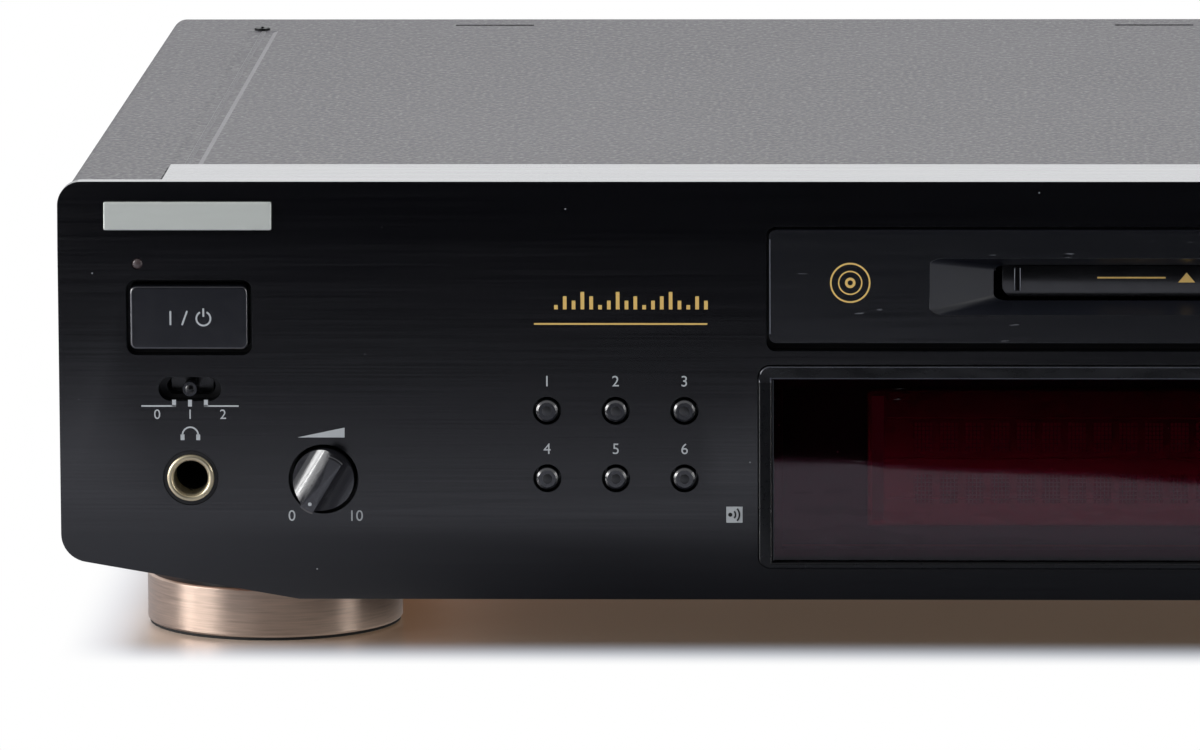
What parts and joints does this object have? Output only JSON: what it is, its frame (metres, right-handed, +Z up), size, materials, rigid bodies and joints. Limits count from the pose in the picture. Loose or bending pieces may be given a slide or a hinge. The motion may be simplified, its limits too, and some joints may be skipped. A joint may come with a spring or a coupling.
{
  "type": "minidisc deck",
  "caption": "Full-width slot-loading minidisc deck with display, keys, level knobs, phones socket, jog dial and round metal feet.",
  "frame": {"origin": "on the table, under the middle of the deck's overall width and depth", "axes": "+X to the deck's right seen from the front, +Y to the rear panel, +Z up; the front panel faces -Y"},
  "size_m": [0.43, 0.285, 0.095],
  "materials": {
    "brushed_black_panel": "brushed, black anodised",
    "black_abs": "moulded, fine satin",
    "lid_black": "moulded, satin gloss",
    "flap_black": "moulded, glossy",
    "smoked_acrylic": "polished, smoked red",
    "display_tube": "glass tube, unlit",
    "board_green": "solder mask",
    "bright_chrome": "polished",
    "lamp_lens": "clear tinted lens, unlit",
    "gold_plate": "plated, satin",
    "key_black": "moulded, satin gloss",
    "zinc_steel": "zinc plated",
    "cover_paint": "powder texture, dark grey",
    "rear_paint": "satin paint",
    "screw_black": "black zinc",
    "champagne_foot": "turned, brushed, champagne anodised",
    "foot_rubber": "moulded",
    "part_black": "moulded",
    "core_steel": "laminated, varnished",
    "socket_black": "moulded",
    "mech_steel": "zinc plated",
    "motor_can": "nickel plated",
    "acetal_white": "moulded acetal",
    "bright_rod": "ground"
  },
  "bodies": {
    "deck": {"front_panel": "brushed_black_panel", "sub_panel": "black_abs", "slot_lid": "lid_black", "display_window": "smoked_acrylic", "display_tube": "display_tube", "key_board": "board_green", "key_switches": "part_black", "control_bodies": "part_black", "name_bar": "bright_chrome", "standby_lamp": "lamp_lens", "phones_bush": "gold_plate", "phones_jack": "socket_black", "chassis_pan": "zinc_steel", "top_cover": "cover_paint", "rear_panel": "rear_paint", "case_screws": "screw_black", "foot_rings": "champagne_foot", "foot_pads": "foot_rubber", "main_board": "board_green", "board_parts": "part_black", "transformer": "core_steel", "line_jacks": "socket_black", "optical_ports": "socket_black", "power_inlet": "socket_black", "mech_base": "mech_steel", "mech_dampers": "foot_rubber", "mech_motors": "motor_can", "guide_rods": "bright_rod"},
    "power_key": {"power_key": "key_black"},
    "fader_key": {"fader_key": "key_black"},
    "scroll_key": {"scroll_key": "key_black"},
    "display_key": {"display_key": "key_black"},
    "play_mode_key": {"play_mode_key": "key_black"},
    "repeat_key": {"repeat_key": "key_black"},
    "time_key": {"time_key": "key_black"},
    "eject_key": {"eject_key": "key_black"},
    "menu_key": {"menu_key": "key_black"},
    "yes_key": {"yes_key": "key_black"},
    "play_key": {"play_key": "key_black"},
    "pause_key": {"pause_key": "key_black"},
    "stop_key": {"stop_key": "key_black"},
    "rewind_key": {"rewind_key": "key_black"},
    "forward_key": {"forward_key": "key_black"},
    "record_key": {"record_key": "key_black"},
    "timer_slider": {"timer_slider": "key_black"},
    "input_slider": {"input_slider": "key_black"},
    "level_knob": {"level_knob": "key_black", "level_shaft": "bright_rod"},
    "record_knob": {"record_knob": "key_black", "record_shaft": "bright_rod"},
    "jog_shaft": {"jog_shaft": "bright_rod"},
    "jog_dial": {"jog_dial": "key_black"},
    "slot_flap": {"slot_flap": "flap_black"},
    "loading_slider": {"loading_slider": "acetal_white"},
    "disc_holder": {"disc_holder": "mech_steel"},
    "loading_gear": {"loading_gear": "acetal_white"},
    "turntable": {"turntable": "mech_steel"},
    "pickup_sled": {"pickup_sled": "part_black"},
    "lead_screw": {"lead_screw": "bright_rod"},
    "head_arm": {"head_arm": "mech_steel"}
  },
  "joints": [
    {"name": "power_key_press", "type": "slide", "parent": "deck", "child": "power_key", "axis": [0, 1, 0], "range_m": [0, 0.0006], "stiffness_N_per_m": 600},
    {"name": "fader_key_press", "type": "slide", "parent": "deck", "child": "fader_key", "axis": [0, 1, 0], "range_m": [0, 0.0006], "stiffness_N_per_m": 600},
    {"name": "scroll_key_press", "type": "slide", "parent": "deck", "child": "scroll_key", "axis": [0, 1, 0], "range_m": [0, 0.0006], "stiffness_N_per_m": 600},
    {"name": "display_key_press", "type": "slide", "parent": "deck", "child": "display_key", "axis": [0, 1, 0], "range_m": [0, 0.0006], "stiffness_N_per_m": 600},
    {"name": "play_mode_key_press", "type": "slide", "parent": "deck", "child": "play_mode_key", "axis": [0, 1, 0], "range_m": [0, 0.0006], "stiffness_N_per_m": 600},
    {"name": "repeat_key_press", "type": "slide", "parent": "deck", "child": "repeat_key", "axis": [0, 1, 0], "range_m": [0, 0.0006], "stiffness_N_per_m": 600},
    {"name": "time_key_press", "type": "slide", "parent": "deck", "child": "time_key", "axis": [0, 1, 0], "range_m": [0, 0.0006], "stiffness_N_per_m": 600},
    {"name": "eject_key_press", "type": "slide", "parent": "deck", "child": "eject_key", "axis": [0, 1, 0], "range_m": [0, 0.0006], "stiffness_N_per_m": 600},
    {"name": "menu_key_press", "type": "slide", "parent": "deck", "child": "menu_key", "axis": [0, 1, 0], "range_m": [0, 0.0006], "stiffness_N_per_m": 600},
    {"name": "yes_key_press", "type": "slide", "parent": "deck", "child": "yes_key", "axis": [0, 1, 0], "range_m": [0, 0.0006], "stiffness_N_per_m": 600},
    {"name": "play_key_press", "type": "slide", "parent": "deck", "child": "play_key", "axis": [0, 1, 0], "range_m": [0, 0.0006], "stiffness_N_per_m": 600},
    {"name": "pause_key_press", "type": "slide", "parent": "deck", "child": "pause_key", "axis": [0, 1, 0], "range_m": [0, 0.0006], "stiffness_N_per_m": 600},
    {"name": "stop_key_press", "type": "slide", "parent": "deck", "child": "stop_key", "axis": [0, 1, 0], "range_m": [0, 0.0006], "stiffness_N_per_m": 600},
    {"name": "rewind_key_press", "type": "slide", "parent": "deck", "child": "rewind_key", "axis": [0, 1, 0], "range_m": [0, 0.0006], "stiffness_N_per_m": 600},
    {"name": "forward_key_press", "type": "slide", "parent": "deck", "child": "forward_key", "axis": [0, 1, 0], "range_m": [0, 0.0006], "stiffness_N_per_m": 600},
    {"name": "record_key_press", "type": "slide", "parent": "deck", "child": "record_key", "axis": [0, 1, 0], "range_m": [0, 0.0006], "stiffness_N_per_m": 600},
    {"name": "timer_slide", "type": "slide", "parent": "deck", "child": "timer_slider", "axis": [1, 0, 0], "range_m": [-0.003, 0.003]},
    {"name": "input_slide", "type": "slide", "parent": "deck", "child": "input_slider", "axis": [1, 0, 0], "range_m": [-0.003, 0.003]},
    {"name": "level_turn", "type": "hinge", "parent": "deck", "child": "level_knob", "pos_m": [-0.1646, -0.1335, 0.0378], "axis": [0, 1, 0], "range_deg": [0, 298]},
    {"name": "record_turn", "type": "hinge", "parent": "deck", "child": "record_knob", "pos_m": [0.161, -0.1335, 0.0339], "axis": [0, 1, 0], "range_deg": [0, 298]},
    {"name": "jog_push", "type": "slide", "parent": "deck", "child": "jog_shaft", "axis": [0, 1, 0], "range_m": [0, 0.0005], "stiffness_N_per_m": 1500},
    {"name": "jog_turn", "type": "hinge", "parent": "jog_shaft", "child": "jog_dial", "pos_m": [0.176, -0.1335, 0.066], "axis": [0, 1, 0], "continuous": true},
    {"name": "flap_swing", "type": "hinge", "parent": "deck", "child": "slot_flap", "pos_m": [0, -0.127, 0.07945], "axis": [1, 0, 0], "range_deg": [0, 80], "stiffness_Nm_per_rad": 0.002},
    {"name": "loader_slide", "type": "slide", "parent": "deck", "child": "loading_slider", "axis": [0, 1, 0], "range_m": [0, 0.016]},
    {"name": "holder_lower", "type": "slide", "parent": "deck", "child": "disc_holder", "axis": [0, 0, -1], "range_m": [0, 0.004]},
    {"name": "gear_turn", "type": "hinge", "parent": "deck", "child": "loading_gear", "pos_m": [0, -0.069, 0.08571], "axis": [1, 0, 0], "range_deg": [0, 230]},
    {"name": "turntable_spin", "type": "hinge", "parent": "deck", "child": "turntable", "pos_m": [0, -0.077, 0.0602], "axis": [0, 0, 1], "continuous": true},
    {"name": "sled_slide", "type": "slide", "parent": "deck", "child": "pickup_sled", "axis": [1, 0, 0], "range_m": [0, 0.016]},
    {"name": "lead_screw_turn", "type": "hinge", "parent": "deck", "child": "lead_screw", "pos_m": [0, -0.097, 0.0602], "axis": [1, 0, 0], "range_deg": [0, 1925]},
    {"name": "arm_lower", "type": "hinge", "parent": "pickup_sled", "child": "head_arm", "pos_m": [0.0445, -0.077, 0.08305], "axis": [0, -1, 0], "range_deg": [0, 8]}
  ],
  "couplings": [
    {"joint": "holder_lower", "follows": "loader_slide", "ratio": 0.25},
    {"joint": "gear_turn", "follows": "loader_slide", "rad_per_m": 208.33},
    {"joint": "lead_screw_turn", "follows": "sled_slide", "rad_per_m": 2094.4}
  ]
}
